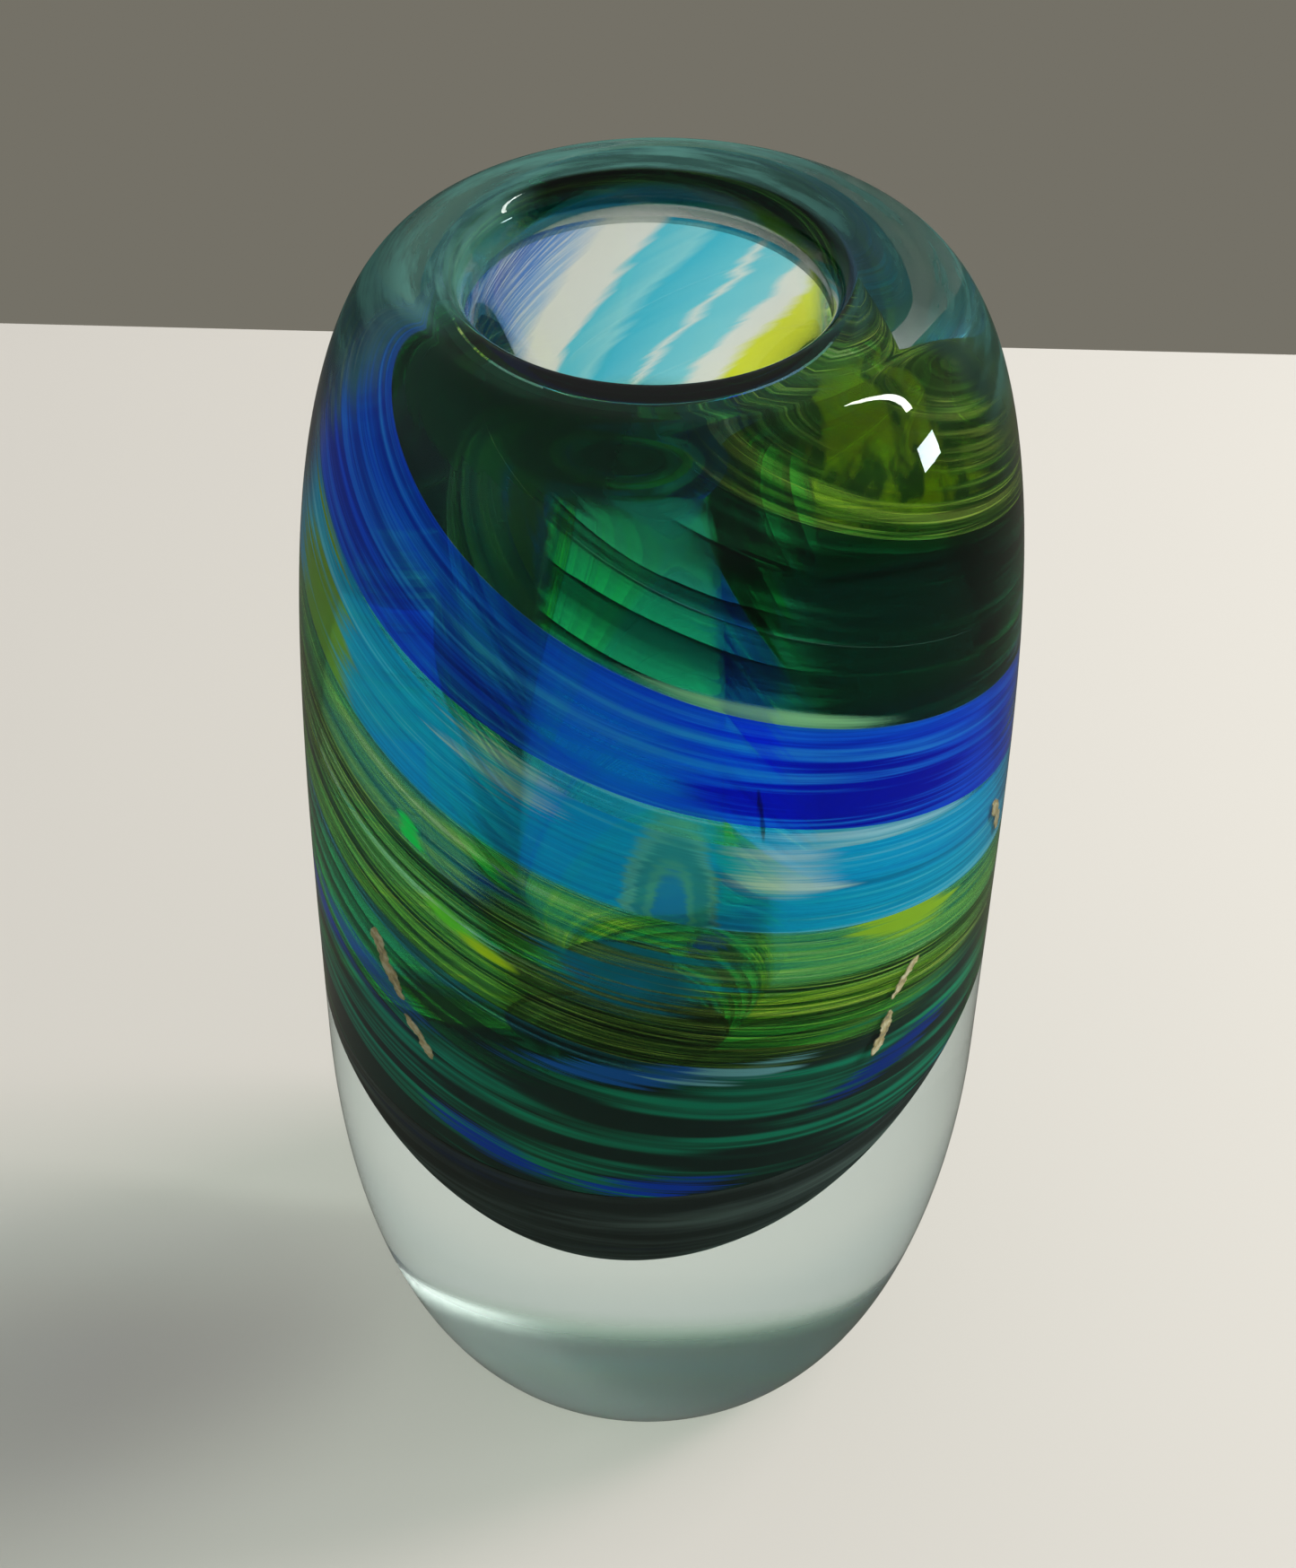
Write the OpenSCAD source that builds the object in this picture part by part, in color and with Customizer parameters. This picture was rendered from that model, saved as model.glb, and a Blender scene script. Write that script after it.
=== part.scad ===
// Hand blown art glass vase: a clear bubble, a twisted layer of coloured glass strips over it,
// and a thick clear outer gather with a heavy base and a rounded lip.
// The origin is the centre of the foot, on the table. The front of the vase faces -Y.

/* [Outer gather] */
// Height from the foot to the crest of the lip
height = 176; // [165:1:190]
// Largest radius of the vase
body_radius = 45; // [43:0.5:50]
// Height of the widest ring above the foot
belly_height = 60; // [45:1:75]
// Radius of the flat ground foot
foot_radius = 25; // [21:0.5:29]
// Fullness of the curve from the foot up to the belly
heel_power = 2; // [1.7:0.1:2.6]
// Fullness of the curve from the belly over the shoulder
shoulder_power = 4.5; // [3.5:0.1:6]

/* [Mouth] */
// Radius of the opening at its narrowest
mouth_radius = 20.75; // [19.5:0.25:22]
// Width of the rounding from the opening up to the crest
lip_round = 2.5; // [2:0.25:3.5]
// Depth of that rounding below the crest
lip_drop = 4; // [3:0.25:5]
// Straight wall of the opening below the rounding
lip_land = 2; // [1:0.25:3]
// Flat of the crest where it is narrowest
crest_land = 3.5; // [2.5:0.1:4.5]

/* [Hollow] */
// Radius of the narrow bore at mid height
hollow_radius = 13; // [11:0.25:16]
// Height of the bottom of the hollow above the foot
hollow_floor = 62; // [58:0.5:68]
// Height over which the rounded bottom of the hollow widens
hollow_nose = 36; // [30:1:42]
// Distance of the narrow bore behind the middle of the mouth
bore_back = 7.5; // [4:0.25:7.5]
// Length of the stretch where the bore swells to the width of the mouth
throat_length = 18; // [14:1:24]
// Even wall of the hollow between that swell and the seam below the lip
throat_land = 2; // [1:0.5:4]
// Length of the stretch below the lip where the colour draws in to the mouth
neck_length = 44; // [36:1:52]
// Wall of the inner gather at its top edge
neck_wall = 1.6; // [1.2:0.1:2.2]
// Distance of the hollow and the colour to the left of the vase's own axis
core_shift = 2.2; // [0:0.1:3]

/* [Colour layer] */
// Outer radius of the colour layer
colour_radius = 31; // [30:0.25:33]
// Thickness of the coloured glass
colour_thick = 1.2; // [0.8:0.1:1.6]
// Height of the lowest point of the colour, which is the depth of the clear base
colour_floor = 32.5; // [29:0.5:36]
// Height over which the rounded nose of the colour widens
nose_height = 50; // [44:1:56]
// Sharpness of the nose, higher is blunter
nose_power = 1.5; // [1.3:0.05:2]
// Height of the dark cup over the nose
cup_rise = 25.5; // [20:0.5:30]
// Gap left between neighbouring pieces of glass
fit_gap = 0.2; // [0.18:0.01:0.25]

/* [Swirl] */
// Climb in one turn at the lower end of the ribbons
pitch_bottom = 45; // [38:1:60]
// Climb in one turn at the rim
pitch_top = 109; // [90:1:125]
// Where the first ribbon starts at the rim, in degrees from the front, to the right
swirl_start = -90; // [-180:1:180]
// Share of the turn taken by the emerald ribbon, against the sum of all seven shares
emerald_share = 42; // [36:1:48]
// Share taken by the bottle green ribbon
bottle_green_share = 47; // [41:1:53]
// Share taken by the moss ribbon
moss_share = 46; // [40:1:52]
// Share taken by the olive ribbon
olive_share = 46; // [40:1:52]
// Share taken by the lime ribbon
lime_share = 43; // [37:1:49]
// Share taken by the turquoise ribbon
turquoise_share = 68; // [60:1:76]
// Share taken by the cobalt ribbon
cobalt_share = 68; // [60:1:76]

/* [Inlays and leaf] */
// Greatest width of the mint streak, in degrees
mint_width = 16; // [10:1:22]
// Greatest width of the pale blue streak
sky_width = 13; // [8:1:18]
// Greatest width of the opal wisp
opal_width = 15; // [10:1:20]
// Thickness of a flake of leaf
leaf_thick = 0.4; // [0.3:0.05:0.6]
// Width of a flake as a share of its length
leaf_slimness = 0.24; // [0.2:0.01:0.4]

/* [Hidden] */

$fn = 128;
curve_step = 3;
facet_angle = 10;
hollow_sides = 40;
overcut = 1;
full_turn = 360;

lip_radius = mouth_radius + lip_round + core_shift + crest_land;
seam = height - lip_drop - lip_land;
neck_start = seam - neck_length;
colour_top_radius = mouth_radius + neck_wall + colour_thick + 2 * fit_gap;
gather_inset = colour_thick + 2 * fit_gap;
colour_full = colour_floor + nose_height;
hollow_full = hollow_floor + hollow_nose;
throat_start = seam - throat_land - throat_length;

cup_top = colour_floor + cup_rise;
ribbon_bottom = cup_top + fit_gap;
ribbon_top = seam - fit_gap;
pitch_growth = (pitch_top - pitch_bottom) / (ribbon_top - ribbon_bottom);
twist_total = full_turn / pitch_growth * ln(pitch_top / pitch_bottom);
station_count = ceil(twist_total / facet_angle);
gap_angle = full_turn * fit_gap / (2 * PI * colour_radius);

// The ribbons in order round the vase: each edge stands at the sum of the shares before it.
shares = [emerald_share, bottle_green_share, moss_share, olive_share, lime_share, turquoise_share,
    cobalt_share];
function total(list) = list * [for (item = list) 1];
function share_before(index) = total([for (i = [0 : len(shares) - 1]) i < index ? shares[i] : 0]);
function edge_angle(index) = swirl_start + full_turn * share_before(index) / total(shares);
cobalt_place = len(shares) - 1;

// Streaks that lie along an edge: the edge, its greatest width, and the span of turns below the rim.
mint = [0, mint_width, -520, -395];
sky = [2, sky_width, -420, -255];
opal = [cobalt_place, opal_width, -250, -95];
streaks = [mint, sky, opal];

// Flakes of leaf: degrees from the front, share of the vase's height, length, lean to the left.
flakes = [[-54, 0.508, 10, 26], [-45.5, 0.455, 6.5, 38], [60, 0.502, 6, -40], [55, 0.458, 7, -18],
    [93, 0.5625, 8, 22]];
function flake_height(flake) = height * flake[1];

// Outer outline from the foot over the belly and shoulder to the crest.
heel_curve = [for (a = [0 : curve_step : 90])
    [foot_radius + (body_radius - foot_radius) * sin(a),
    belly_height * (1 - pow(cos(a), 2 / heel_power))]];
shoulder_curve = [for (a = [curve_step : curve_step : 90])
    [lip_radius + (body_radius - lip_radius) * cos(a),
    belly_height + (height - belly_height) * pow(sin(a), 2 / shoulder_power)]];
outer_outline = concat([[0, 0]], heel_curve, shoulder_curve, [[0, height]]);

// A rounded nose that widens to its full radius, then a neck that draws in towards the mouth.
function nose_radius(z, full, rise, radius) =
    z < full ? radius * sqrt(max(0, 1 - pow((full - z) / rise, nose_power))) : radius;
function neck_draw(z, amount) = amount * pow(max(0, (z - neck_start) / neck_length), 2);
function throat_swell(z) = let (t = min(1, max(0, (z - throat_start) / throat_length))) t * t * (3 - 2 * t);
function colour_at(z, inset) =
    nose_radius(z, colour_full, nose_height - inset, colour_radius - inset)
    - neck_draw(z, colour_radius - colour_top_radius);
function hollow_at(z) =
    nose_radius(z, hollow_full, hollow_nose, hollow_radius)
    + (mouth_radius - hollow_radius) * throat_swell(z);
function bore_centre(z) = bore_back * (1 - throat_swell(z));

// Heights that follow a nose closely near its tip, up to a chosen height.
function nose_heights(full, rise, top) =
    [for (a = [0 : curve_step : 90])
        let (z = full - rise * pow(cos(a), 2 / nose_power))
        if (z < top - fit_gap) z];
function wall_heights(low, top) =
    let (count = ceil((top - low) / curve_step))
    [for (i = [0 : count]) low + (top - low) * i / count];

function colour_curve(inset, top) =
    let (wall = wall_heights(max(colour_full + curve_step, neck_start), top))
    [for (z = concat(nose_heights(colour_full, nose_height - inset, top), wall)) [colour_at(z, inset), z]];
function hollow_heights(top) =
    concat([for (z = nose_heights(hollow_full, hollow_nose, top)) if (z > hollow_floor) z],
        wall_heights(max(hollow_full + curve_step, throat_start), top));
function cup_curve(inset) =
    concat([for (z = nose_heights(colour_full, nose_height - inset, cup_top)) [colour_at(z, inset), z]],
        [[colour_at(cup_top, inset), cup_top]]);
function reversed(list) = [for (i = [len(list) - 1 : -1 : 0]) list[i]];

lip_curve = [for (a = [0 : curve_step : 90])
    [mouth_radius + lip_round * (1 - cos(a)), height - lip_drop * (1 - sin(a))]];

// Twist of the swirl: turns are counted down from the rim, and the climb grows with height.
function pitch_at(turn) = pitch_top * exp(turn * pitch_growth / full_turn);
function height_at(turn) = ribbon_top - (pitch_top - pitch_at(turn)) / pitch_growth;
function station_turn(index) = -twist_total * (1 - index / station_count);

// Half width of the streak that lies on an edge, zero where there is none.
function streak_swell(streak, turn) =
    let (share = (turn - streak[2]) / (streak[3] - streak[2]))
    share > 0 && share < 1 ? streak[1] / 2 * sin(180 * share) : 0;
function edge_swell(index, turn) =
    max([for (streak = streaks) streak[0] == index % len(shares) ? streak_swell(streak, turn) : 0]);

function on_colour(angle, turn, inset) =
    let (z = height_at(turn), radius = colour_at(z, inset), around = angle - turn)
    [radius * sin(around), -radius * cos(around), z];

// A curved sheet of glass between two lists of edge angles, one pair for each station.
module glass_sheet(turns, lows, highs) {
    steps = max(1, ceil(max(highs - lows) / facet_angle));
    rows = len(turns);
    row_size = steps + 1;
    skin_size = rows * row_size;
    function skin(inset) = [for (j = [0 : rows - 1]) for (i = [0 : steps])
        on_colour(lows[j] + (highs[j] - lows[j]) * i / steps, turns[j], inset)];
    function outer(j, i) = j * row_size + i;
    function inner(j, i) = skin_size + j * row_size + i;
    outer_faces = [for (j = [0 : rows - 2]) for (i = [0 : steps - 1]) each [
        [outer(j, i), outer(j + 1, i), outer(j + 1, i + 1)],
        [outer(j, i), outer(j + 1, i + 1), outer(j, i + 1)]]];
    inner_faces = [for (j = [0 : rows - 2]) for (i = [0 : steps - 1]) each [
        [inner(j, i), inner(j + 1, i + 1), inner(j + 1, i)],
        [inner(j, i), inner(j, i + 1), inner(j + 1, i + 1)]]];
    side_faces = [for (j = [0 : rows - 2]) each [
        [outer(j, 0), inner(j, 0), inner(j + 1, 0)],
        [outer(j, 0), inner(j + 1, 0), outer(j + 1, 0)],
        [outer(j, steps), inner(j + 1, steps), inner(j, steps)],
        [outer(j, steps), outer(j + 1, steps), inner(j + 1, steps)]]];
    end_faces = [for (i = [0 : steps - 1]) each [
        [outer(0, i), inner(0, i + 1), inner(0, i)],
        [outer(0, i), outer(0, i + 1), inner(0, i + 1)],
        [outer(rows - 1, i), inner(rows - 1, i), inner(rows - 1, i + 1)],
        [outer(rows - 1, i), inner(rows - 1, i + 1), outer(rows - 1, i + 1)]]];
    polyhedron(
        points = concat(skin(fit_gap), skin(fit_gap + colour_thick)),
        faces = concat(outer_faces, inner_faces, side_faces, end_faces));
}

module in_core() {
    translate([-core_shift, 0, 0]) children();
}

module ribbon(index) {
    turns = [for (j = [0 : station_count]) station_turn(j)];
    lows = [for (turn = turns) edge_angle(index) + edge_swell(index, turn) + gap_angle / 2];
    highs = [for (turn = turns) edge_angle(index + 1) - edge_swell(index + 1, turn) - gap_angle / 2];
    in_core() glass_sheet(turns, lows, highs);
}

module streak(shape) {
    turns = [for (j = [0 : station_count]) let (turn = station_turn(j))
        if (streak_swell(shape, turn) > gap_angle) turn];
    lows = [for (turn = turns) edge_angle(shape[0]) - streak_swell(shape, turn) + gap_angle / 2];
    highs = [for (turn = turns) edge_angle(shape[0]) + streak_swell(shape, turn) - gap_angle / 2];
    in_core() glass_sheet(turns, lows, highs);
}

// Places a flake's own frame: x along the wall, y up, z outwards, on the outer face of the colour.
module at_flake(flake) {
    in_core() rotate([0, 0, flake[0]])
        translate([0, -colour_at(flake_height(flake), 0), flake_height(flake)])
        rotate([90, 0, 0])
        rotate([0, 0, flake[3]])
        children();
}

// Torn outline of a flake, drawn as shares of its half length and half width.
module flake_outline(length) {
    half = length / 2;
    side = half * leaf_slimness;
    polygon([[-side, -half * 0.6], [-side * 0.3, -half], [side * 0.8, -half * 0.75], [side, half * 0.1],
        [side * 0.6, half], [-side * 0.5, half * 0.85], [-side * 0.9, half * 0.2]]);
}

module flake_pocket(flake) {
    side = flake[2] * leaf_slimness / 2 + fit_gap;
    half = flake[2] / 2 + fit_gap;
    at_flake(flake)
        translate([-side, -half, -overcut])
        cube([2 * side, 2 * half, overcut + leaf_thick + 2 * fit_gap]);
}

// The hollow as a solid: rings from the tip of its nose up to the mouth, each round its own centre.
module hollow(top) {
    heights = hollow_heights(top);
    rows = len(heights);
    tip = rows * hollow_sides;
    rings = [for (z = heights) for (i = [0 : hollow_sides - 1])
        let (around = full_turn * i / hollow_sides)
        [hollow_at(z) * cos(around), bore_centre(z) + hollow_at(z) * sin(around), z]];
    function on_ring(j, i) = j * hollow_sides + i % hollow_sides;
    tip_faces = [for (i = [0 : hollow_sides - 1]) [tip, on_ring(0, i), on_ring(0, i + 1)]];
    wall_faces = [for (j = [0 : rows - 2]) for (i = [0 : hollow_sides - 1])
        [on_ring(j, i), on_ring(j + 1, i), on_ring(j + 1, i + 1), on_ring(j, i + 1)]];
    lid = [for (i = [hollow_sides - 1 : -1 : 0]) on_ring(rows - 1, i)];
    polyhedron(
        points = concat(rings, [[0, bore_back, hollow_floor]]),
        faces = concat(tip_faces, wall_faces, [lid]));
}

module clear_casing() {
    core_outline = concat(colour_curve(0, seam), [[mouth_radius, seam]], lip_curve,
        [[mouth_radius + lip_round, height + overcut], [0, height + overcut]]);
    color([0.86, 0.93, 0.90, 0.35]) difference() {
        rotate_extrude() polygon(outer_outline);
        in_core() rotate_extrude() polygon(core_outline);
        for (flake = flakes) flake_pocket(flake);
    }
}

module inner_gather() {
    outline = concat(colour_curve(gather_inset, ribbon_top), [[0, ribbon_top]]);
    color([0.90, 0.95, 0.93, 0.35]) in_core() difference() {
        rotate_extrude() polygon(outline);
        hollow(ribbon_top + overcut);
    }
}

module nose_cup() {
    outline = concat(cup_curve(fit_gap), reversed(cup_curve(fit_gap + colour_thick)));
    color([0.10, 0.16, 0.14, 0.8]) in_core() rotate_extrude() polygon(outline);
}

module emerald_ribbon() {
    color([0.0, 0.42, 0.24, 0.7]) ribbon(0);
}

module bottle_green_ribbon() {
    color([0.02, 0.12, 0.08, 0.85]) ribbon(1);
}

module moss_ribbon() {
    color([0.16, 0.28, 0.10, 0.7]) ribbon(2);
}

module olive_ribbon() {
    color([0.34, 0.44, 0.10, 0.65]) ribbon(3);
}

module lime_ribbon() {
    color([0.55, 0.72, 0.12, 0.6]) ribbon(4);
}

module turquoise_ribbon() {
    color([0.05, 0.55, 0.66, 0.65]) ribbon(5);
}

module cobalt_ribbon() {
    color([0.05, 0.12, 0.70, 0.75]) ribbon(cobalt_place);
}

module mint_streak() {
    color([0.35, 0.72, 0.50, 0.7]) streak(mint);
}

module sky_streak() {
    color([0.45, 0.72, 0.85, 0.7]) streak(sky);
}

module opal_wisp() {
    color([0.78, 0.86, 0.88, 0.8]) streak(opal);
}

module leaf_flakes() {
    color([0.78, 0.70, 0.52]) for (flake = flakes)
        at_flake(flake) translate([0, 0, fit_gap]) linear_extrude(leaf_thick) flake_outline(flake[2]);
}

clear_casing();
inner_gather();
nose_cup();
emerald_ribbon();
bottle_green_ribbon();
moss_ribbon();
olive_ribbon();
lime_ribbon();
turquoise_ribbon();
cobalt_ribbon();
mint_streak();
sky_streak();
opal_wisp();
leaf_flakes();
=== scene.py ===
import math

import bpy
import numpy as np
from mathutils import Matrix, Vector


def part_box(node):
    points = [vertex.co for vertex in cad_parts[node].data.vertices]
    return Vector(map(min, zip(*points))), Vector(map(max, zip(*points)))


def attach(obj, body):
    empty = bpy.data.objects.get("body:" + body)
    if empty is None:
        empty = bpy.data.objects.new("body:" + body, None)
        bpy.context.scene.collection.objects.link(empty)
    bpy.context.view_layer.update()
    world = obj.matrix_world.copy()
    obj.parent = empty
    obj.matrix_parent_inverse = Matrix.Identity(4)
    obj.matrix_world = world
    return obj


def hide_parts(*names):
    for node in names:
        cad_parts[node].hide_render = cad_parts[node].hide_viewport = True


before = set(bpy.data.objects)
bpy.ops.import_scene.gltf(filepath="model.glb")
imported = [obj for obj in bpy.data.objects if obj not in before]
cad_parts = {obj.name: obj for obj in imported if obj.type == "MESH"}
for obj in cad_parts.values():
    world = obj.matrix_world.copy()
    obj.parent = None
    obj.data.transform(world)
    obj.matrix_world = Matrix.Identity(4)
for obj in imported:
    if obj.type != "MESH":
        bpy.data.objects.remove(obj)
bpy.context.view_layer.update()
print("frame loaded:", len(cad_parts), "glass pieces")

scene = bpy.context.scene
mm = 0.001


# Sizes of the blown form, in millimetres, as the frame gives them or as the part has them

casingLow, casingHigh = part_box("clear_casing")
gatherLow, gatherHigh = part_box("inner_gather")

form = {
    "height": casingHigh[2] / mm,
    "bodyRadius": (casingHigh[0] - casingLow[0]) / 2 / mm,
    "coreX": (gatherHigh[0] + gatherLow[0]) / 2 / mm,   # hollow and colour sit left of the axis
    "bellyHeight": 60.0,
    "footRadius": 25.0,
    "heelPower": 2.0,
    "shoulderPower": 4.5,
    "mouthRadius": 20.75,
    "lipRound": 2.5,
    "lipDrop": 4.0,
    "lipLand": 2.0,
    "crestLand": 3.5,
    "hollowRadius": 13.0,
    "hollowFloor": 62.0,
    "hollowNose": 36.0,
    "throatStart": 150.0,
    "throatEnd": 168.0,
    "boreBack": 7.5,
    "neckLength": 44.0,
    "neckWall": 1.6,
    "colourRadius": 31.0,
    "colourThick": 1.2,
    "colourFloor": 32.5,
    "noseHeight": 50.0,
    "nosePower": 1.5,
    "cupRise": 25.5,
    "fitGap": 0.2,
    "sheetGap": 0.02,         # between neighbouring strips, which are fused
    "leastStep": 0.3,         # between the last two rings of a nose that is cut off
}
form["seam"] = form["height"] - form["lipDrop"] - form["lipLand"]
form["neckStart"] = form["seam"] - form["neckLength"]
form["lipRadius"] = form["mouthRadius"] + form["lipRound"] - form["coreX"] + form["crestLand"]
form["colourFull"] = form["colourFloor"] + form["noseHeight"]
form["hollowFull"] = form["hollowFloor"] + form["hollowNose"]
form["colourTopRadius"] = form["mouthRadius"] + form["neckWall"] + form["colourThick"] + 2 * form["fitGap"]
form["gatherInset"] = form["colourThick"] + 2 * form["fitGap"]
colourSkins = (form["fitGap"], form["fitGap"] + form["colourThick"])   # outer and inner

swirl = {
    "pitchBottom": 45.0,      # climb of one turn at the low end, mm
    "pitchTop": 109.0,        # climb of one turn at the rim, mm
    "start": -90.0,           # first edge at the rim, degrees to the right of the front
    "bottom": form["colourFloor"] + form["cupRise"] + form["fitGap"],
    "top": form["seam"] - form["fitGap"],
    "stepDegrees": 2.5,
}
swirl["growth"] = (swirl["pitchTop"] - swirl["pitchBottom"]) / (swirl["top"] - swirl["bottom"])
swirl["turnDegrees"] = 360 / swirl["growth"] * math.log(swirl["pitchTop"] / swirl["pitchBottom"])


# Mesh helpers

def makePiece(name, points, faces, faceMaterials, materials, uv=None, sharpDegrees=35):
    mesh = bpy.data.meshes.new(name)
    mesh.from_pydata(points * mm, [], faces)
    mesh.polygons.foreach_set("use_smooth", np.ones(len(mesh.polygons), bool))
    mesh.polygons.foreach_set("material_index", np.asarray(faceMaterials, np.int32))
    for material in materials:
        mesh.materials.append(material)
    if uv is not None:
        corners = np.empty(len(mesh.loops), np.int32)
        mesh.loops.foreach_get("vertex_index", corners)
        layer = mesh.uv_layers.new(name="swirlMap")
        layer.data.foreach_set("uv", uv[corners].astype(np.float32).ravel())
    mesh.set_sharp_from_angle(angle=math.radians(sharpDegrees))
    mesh.update()
    piece = bpy.data.objects.new(name, mesh)
    scene.collection.objects.link(piece)
    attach(piece, "root")
    return piece


def roundAxis(radius, around, z, centreX, centreY=0.0):
    # x is the centre plus radius times sine, y the centre less radius times cosine, so angle 0 is the front
    x = centreX + radius * np.sin(around)
    y = centreY - radius * np.cos(around)
    return np.stack([x, y, z], -1).reshape(-1, 3)


def ringFaces(ringCount, sides):
    # quads between neighbouring rings, and a fan from each pole; the poles come last in the point list
    j = np.arange(sides)
    i = np.arange(ringCount - 1)[:, None]
    low, nextJ = i * sides, (j + 1) % sides
    quads = np.stack([low + j, low + nextJ, low + sides + nextJ, low + sides + j], -1).reshape(-1, 4)
    firstPole, lastPole = ringCount * sides, ringCount * sides + 1
    bottom = np.stack([np.full(sides, firstPole), nextJ, j], -1)
    last = (ringCount - 1) * sides
    top = np.stack([np.full(sides, lastPole), last + j, last + nextJ], -1)
    return quads.tolist() + bottom.tolist() + top.tolist()


def turnedSolid(name, rings, sides, materials, wobble=None):
    # each ring is (radius, height, centre x, material, centre y): a circle round its own centre, and the
    # material of the strip that follows it; the first and last rings are poles, so the skin is closed
    rings = np.asarray(rings, float)
    around = np.linspace(0, 2 * np.pi, sides, endpoint=False)
    body = rings[1:-1]
    radius = body[:, :1] * np.ones((1, sides))
    height = body[:, 1:2] * np.ones((1, sides))
    if wobble is not None:
        radius = radius - wobble(around[None, :], height, radius)
    skin = roundAxis(radius, around, height, body[:, 2:3], body[:, 4:5])
    poles = rings[[0, -1]][:, [2, 4, 1]]
    faceMaterials = np.concatenate([
        np.repeat(body[:-1, 3], sides), np.full(sides, rings[0, 3]), np.full(sides, body[-1, 3])])
    return makePiece(name, np.vstack([skin, poles]), ringFaces(len(body), sides), faceMaterials, materials)


def sheetFaces(rows, row):
    # front grid, back grid turned round, the two long borders, and last the two ends
    inside = rows * row
    j, i = np.meshgrid(np.arange(rows - 1), np.arange(row - 1), indexing="ij")
    a = (j * row + i).ravel()
    s = np.arange(rows - 1) * row
    e = s + row - 1
    b = np.arange(row - 1)
    t = b + (rows - 1) * row
    return np.vstack([
        np.stack([a, a + 1, a + row + 1, a + row], -1),
        np.stack([a, a + row, a + row + 1, a + 1], -1) + inside,
        np.stack([s, s + row, s + row + inside, s + inside], -1),
        np.stack([e, e + inside, e + row + inside, e + row], -1),
        np.stack([b, b + inside, b + 1 + inside, b + 1], -1),
        np.stack([t, t + 1, t + 1 + inside, t + inside], -1)])


# Outlines: a quarter turn of an angle runs each curve, so points gather where it bends most

def heelCurve(count):
    # foot + (body - foot) sin a, belly (1 - cos a to the power 2/n)
    a = np.linspace(0, np.pi / 2, count)
    return np.stack([
        form["footRadius"] + (form["bodyRadius"] - form["footRadius"]) * np.sin(a),
        form["bellyHeight"] * (1 - np.cos(a) ** (2 / form["heelPower"]))], -1)


def shoulderCurve(count):
    # lip + (body - lip) cos a, belly + rise times sin a to the power 2/n
    a = np.linspace(0, np.pi / 2, count)[1:]
    rise = form["height"] - form["bellyHeight"]
    return np.stack([
        form["lipRadius"] + (form["bodyRadius"] - form["lipRadius"]) * np.cos(a),
        form["bellyHeight"] + rise * np.sin(a) ** (2 / form["shoulderPower"])], -1)


def lipCurve(count):
    # quarter of an ellipse from the crest down to the straight wall of the mouth
    a = np.linspace(np.pi / 2, 0, count)
    return np.stack([
        form["mouthRadius"] + form["lipRound"] * (1 - np.cos(a)),
        form["height"] - form["lipDrop"] * (1 - np.sin(a))], -1)


def noseRadius(z, full, rise, radius):
    # radius times the root of 1 - (distance below full width / rise) to the power n
    below = np.clip((full - z) / rise, 0, 1)
    return radius * np.sqrt(1 - below ** form["nosePower"])


def neckDraw(z, amount):
    # amount times the square of the share of the neck climbed
    return amount * np.clip((z - form["neckStart"]) / form["neckLength"], 0, None) ** 2


def colourRadiusAt(z, inset):
    # the nose below, less the draw of the neck above
    z = np.asarray(z, float)
    nose = noseRadius(z, form["colourFull"], form["noseHeight"] - inset, form["colourRadius"] - inset)
    return nose - neckDraw(z, form["colourRadius"] - form["colourTopRadius"])


def throatSwell(z):
    # share of the swell from the narrow bore to the mouth, t t (3 - 2 t)
    climbed = np.asarray(z, float) - form["throatStart"]
    t = np.clip(climbed / (form["throatEnd"] - form["throatStart"]), 0, 1)
    return t * t * (3 - 2 * t)


def hollowRadiusAt(z):
    # the nose below, then the swell to the mouth
    nose = noseRadius(np.asarray(z, float), form["hollowFull"], form["hollowNose"], form["hollowRadius"])
    return nose + (form["mouthRadius"] - form["hollowRadius"]) * throatSwell(z)


def hollowCentreAt(z):
    # the bore lies behind the axis, and its centre comes forward as it swells to the mouth
    return form["boreBack"] * (1 - throatSwell(z))


def noseHeights(full, rise, top, noseCount, wallCount):
    # close steps near the tip of a nose, even steps up the wall above it
    a = np.linspace(0, np.pi / 2, noseCount)
    nose = full - rise * np.cos(a) ** (2 / form["nosePower"])
    if top <= full:
        return np.append(nose[nose < top - form["leastStep"]], top)
    return np.concatenate([nose, np.linspace(full, top, wallCount)[1:]])


def colourProfile(inset, top, noseCount, wallCount):
    # radius and height up a skin that lies that far inside the pocket
    heights = noseHeights(form["colourFull"], form["noseHeight"] - inset, top, noseCount, wallCount)
    return np.stack([colourRadiusAt(heights, inset), heights], -1)


def asRings(curve, centreX, material, centreY=0.0):
    # gives each point of a curve its centre and its material
    curve = np.asarray(curve, float)
    columns = [np.broadcast_to(value, len(curve))[:, None] for value in (centreX, material, centreY)]
    return np.hstack([curve] + columns)


# Node helpers: a new node goes into the tree of the sockets that it is linked to

nodeRows = {"perRow": 16, "stepX": 200, "stepY": 340}


def newMaterial(name):
    material = bpy.data.materials.new(name)
    material.use_nodes = True
    material.node_tree.nodes.clear()
    return material, material.node_tree


def addNode(kind, inputs, tree=None, **settings):
    # a socket among the inputs is linked, any other value is set, colours as opaque; nodes stand in rows
    if tree is None:
        tree = next(value.id_data for value in inputs.values() if isinstance(value, bpy.types.NodeSocket))
    node = tree.nodes.new("ShaderNode" + kind)
    row, column = divmod(len(tree.nodes) - 1, nodeRows["perRow"])
    node.location = (column * nodeRows["stepX"], -row * nodeRows["stepY"])
    for key, value in settings.items():
        setattr(node, key, value)
    for key, value in inputs.items():
        socket = node.inputs[key]
        if isinstance(value, bpy.types.NodeSocket):
            tree.links.new(value, socket)
        else:
            socket.default_value = (*value, 1.0) if socket.type == "RGBA" else value
    return node


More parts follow.
